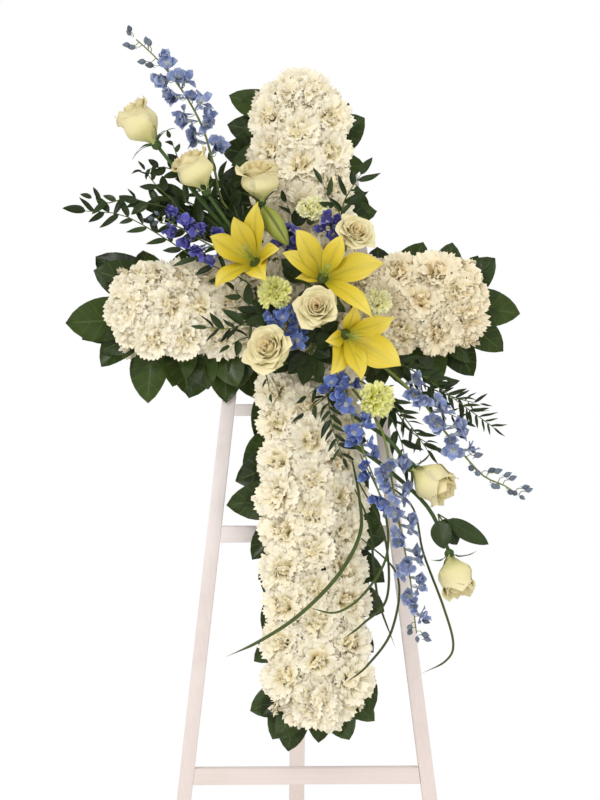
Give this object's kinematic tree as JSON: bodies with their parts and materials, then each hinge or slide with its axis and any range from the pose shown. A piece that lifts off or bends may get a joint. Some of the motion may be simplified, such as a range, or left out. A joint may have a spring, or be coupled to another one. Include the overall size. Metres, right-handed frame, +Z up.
{
  "type": "cross wreath",
  "caption": "Funeral cross of white carnations edged with dark leaves, with a spray of lilies, roses and delphiniums at the crossing, on a folding wooden tripod easel",
  "frame": {"origin": "On the floor under the middle of the overall box", "axes": "+Z up, -Y towards the flowers' front, +X to the right as seen from the front"},
  "size_m": [0.672, 0.7102, 1.5193],
  "materials": {
    "painted_wood": "thin pale pinkish white paint, satin",
    "hinge_steel": "zinc plated",
    "board": "matt, dark green",
    "white_petals": "matt, creamy white, ruffled",
    "dark_leaves": "glossy, dark green",
    "lily_petals": "waxy, lemon yellow",
    "lime_petals": "matt, pale lime green",
    "rose_petals": "velvety, pale cream yellow",
    "blue_petals": "matt, sky blue to violet blue",
    "green_blades": "satin, olive green"
  },
  "bodies": {
    "front_frame_and_cross": {"easel_front_leg_left": "painted_wood", "easel_front_leg_right": "painted_wood", "easel_top_rail": "painted_wood", "easel_upper_rung": "painted_wood", "easel_middle_rung": "painted_wood", "easel_lower_crossbar": "painted_wood", "hinge_fixed_leaf": "hinge_steel", "hinge_pin": "hinge_steel", "backing_board": "board", "white_carnations_upright": "white_petals", "white_carnations_left_arm": "white_petals", "white_carnations_right_arm": "white_petals", "edge_leaves_top": "dark_leaves", "edge_leaves_left": "dark_leaves", "edge_leaves_right": "dark_leaves", "edge_leaves_lower": "dark_leaves", "lily_left": "lily_petals", "lily_middle": "lily_petals", "lily_right": "lily_petals", "lily_bud": "lime_petals", "rose_upper_left": "rose_petals", "rose_upper_middle": "rose_petals", "rose_upper": "rose_petals", "rose_middle": "rose_petals", "rose_lower_left": "rose_petals", "rose_upper_right": "rose_petals", "rose_hanging_upper": "rose_petals", "rose_hanging_lower": "rose_petals", "green_carnation_top": "lime_petals", "green_carnation_left": "lime_petals", "green_carnation_lower": "lime_petals", "green_carnation_right": "lime_petals", "delphinium_upper_left": "blue_petals", "delphinium_left": "blue_petals", "delphinium_right": "blue_petals", "delphinium_hanging_inner": "blue_petals", "delphinium_hanging_outer": "blue_petals", "florets_middle": "blue_petals", "florets_upper_right": "blue_petals", "florets_upper_middle": "blue_petals", "florets_lower": "blue_petals", "bear_grass_long": "green_blades", "bear_grass_crossing": "green_blades", "bear_grass_short": "green_blades", "bear_grass_hook": "green_blades", "bear_grass_inner": "green_blades", "bear_grass_low": "green_blades", "ruscus_left": "dark_leaves", "ruscus_middle_left": "dark_leaves", "ruscus_right": "dark_leaves", "ruscus_top_right": "dark_leaves", "ruscus_lower": "dark_leaves", "ruscus_lower_right": "dark_leaves", "rose_leaves": "dark_leaves", "foliage_lower": "dark_leaves"},
    "rear_leg": {"easel_rear_leg": "painted_wood", "hinge_moving_leaf": "hinge_steel"}
  },
  "joints": [
    {"name": "rear_leg_fold", "type": "hinge", "parent": "front_frame_and_cross", "child": "rear_leg", "pos_m": [0.02067, -0.05426, 1.2694], "axis": [-1, 0, 0], "range_deg": [0, 28]}
  ]
}
